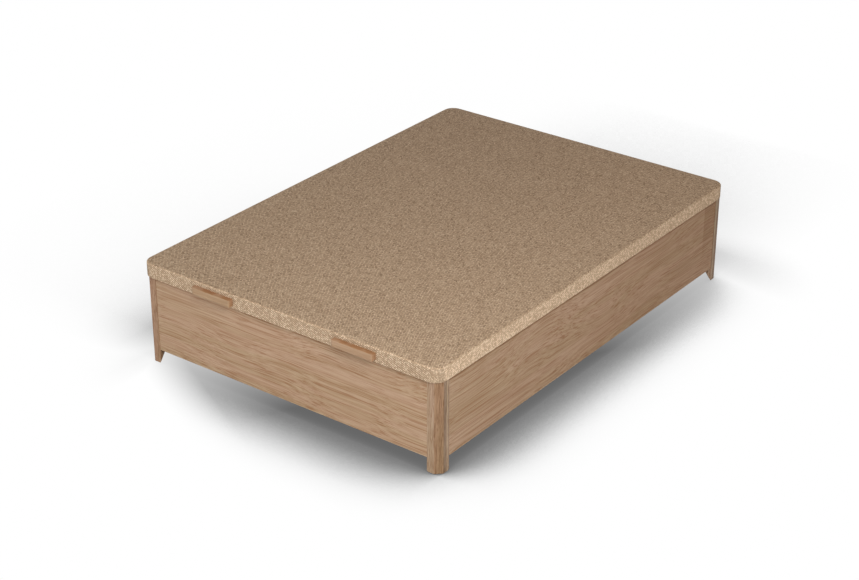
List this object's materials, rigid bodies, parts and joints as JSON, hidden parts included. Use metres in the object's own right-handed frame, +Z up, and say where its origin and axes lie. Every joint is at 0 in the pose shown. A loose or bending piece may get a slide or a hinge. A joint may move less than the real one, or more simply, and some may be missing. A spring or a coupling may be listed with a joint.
{
  "type": "ottoman bed",
  "caption": "Low storage bed: oak-look panelled box on corner posts, closed by a fabric-padded lid that hinges up at the foot on gas struts, with two wooden pulls.",
  "frame": {"origin": "on the floor under the middle of the bed", "axes": "+X to the right seen from the foot end, +Y from the foot to the head, +Z up"},
  "size_m": [1.35, 1.9335, 0.4141],
  "materials": {
    "oak_post": "satin lacquered oak, vertical grain",
    "oak_panel": "satin lacquered oak, horizontal grain",
    "pull_wood": "smooth lacquered wood",
    "pine": "planed softwood",
    "hardboard": "smooth painted board",
    "lid_plywood": "sanded plywood",
    "beech": "fluted dowel",
    "black_steel": "satin black powder coat",
    "strut_paint": "semi-gloss black",
    "rod_steel": "polished",
    "zinc_plate": "bright zinc plate",
    "black_plastic": "moulded",
    "glide_plastic": "moulded",
    "cover_fabric": "open basket weave in beige, tan and grey-brown",
    "foam": "open-cell foam"
  },
  "bodies": {
    "box": {"post_foot_left": "oak_post", "post_foot_right": "oak_post", "post_head_left": "oak_post", "post_head_right": "oak_post", "panel_foot": "oak_panel", "panel_head": "oak_panel", "panel_left": "oak_panel", "panel_right": "oak_panel", "cleat_foot": "pine", "cleat_head": "pine", "cleat_left": "pine", "cleat_right": "pine", "floor_board_foot": "hardboard", "floor_board_head": "hardboard", "cross_bar_foot": "black_steel", "cross_bar_middle": "black_steel", "cross_bar_head": "black_steel", "centre_leg_foot": "black_steel", "centre_leg_middle": "black_steel", "centre_leg_head": "black_steel", "centre_feet": "black_plastic", "leg_glides": "glide_plastic", "cam_discs": "zinc_plate", "cam_bolts": "zinc_plate", "dowels": "beech", "hinge_leaf_box_left": "zinc_plate", "hinge_leaf_box_middle": "zinc_plate", "hinge_leaf_box_right": "zinc_plate", "hinge_pins": "zinc_plate", "hinge_screws_box": "zinc_plate", "strut_bracket_box_left": "black_steel", "strut_bracket_box_right": "black_steel", "strut_screws_box": "zinc_plate", "strut_clips_box": "zinc_plate"},
    "lid": {"lid_cover": "cover_fabric", "lid_foam": "foam", "lid_board": "lid_plywood", "lid_tube_foot": "black_steel", "lid_tube_head": "black_steel", "lid_tube_left": "black_steel", "lid_tube_right": "black_steel", "lid_cross_tube_foot": "black_steel", "lid_cross_tube_middle": "black_steel", "lid_cross_tube_head": "black_steel", "lid_corners": "black_plastic", "pull_left": "pull_wood", "pull_right": "pull_wood", "pull_screws": "zinc_plate", "hinge_leaf_lid_left": "zinc_plate", "hinge_leaf_lid_middle": "zinc_plate", "hinge_leaf_lid_right": "zinc_plate", "hinge_screws_lid": "zinc_plate", "strut_bracket_lid_left": "black_steel", "strut_bracket_lid_right": "black_steel", "strut_screws_lid": "zinc_plate", "strut_clips_lid": "zinc_plate"},
    "cylinder_left": {"strut_cylinder_left": "strut_paint"},
    "cylinder_right": {"strut_cylinder_right": "strut_paint"},
    "rod_left": {"strut_rod_left": "rod_steel"},
    "rod_right": {"strut_rod_right": "rod_steel"}
  },
  "joints": [
    {"name": "lid_hinge", "type": "hinge", "parent": "box", "child": "lid", "pos_m": [0, 0.9585, 0.35335], "axis": [-1, 0, 0], "range_deg": [0, 45]},
    {"name": "strut_turn_left", "type": "hinge", "parent": "box", "child": "cylinder_left", "pos_m": [-0.6225, 0.8585, 0.1184], "axis": [-1, 0, 0], "range_deg": [0, 22.5]},
    {"name": "strut_turn_right", "type": "hinge", "parent": "box", "child": "cylinder_right", "pos_m": [0.6225, 0.8585, 0.1184], "axis": [-1, 0, 0], "range_deg": [0, 22.5]},
    {"name": "strut_slide_left", "type": "slide", "parent": "cylinder_left", "child": "rod_left", "axis": [0, -0.6001, 0.7999], "range_m": [0, 0.151]},
    {"name": "strut_slide_right", "type": "slide", "parent": "cylinder_right", "child": "rod_right", "axis": [0, -0.6001, 0.7999], "range_m": [0, 0.151]}
  ],
  "couplings": [
    {"joint": "strut_turn_left", "follows": "lid_hinge", "ratio": 0.49281},
    {"joint": "strut_turn_right", "follows": "lid_hinge", "ratio": 0.49281},
    {"joint": "strut_slide_left", "follows": "lid_hinge", "m_per_rad": 0.19113},
    {"joint": "strut_slide_right", "follows": "lid_hinge", "m_per_rad": 0.19113}
  ]
}
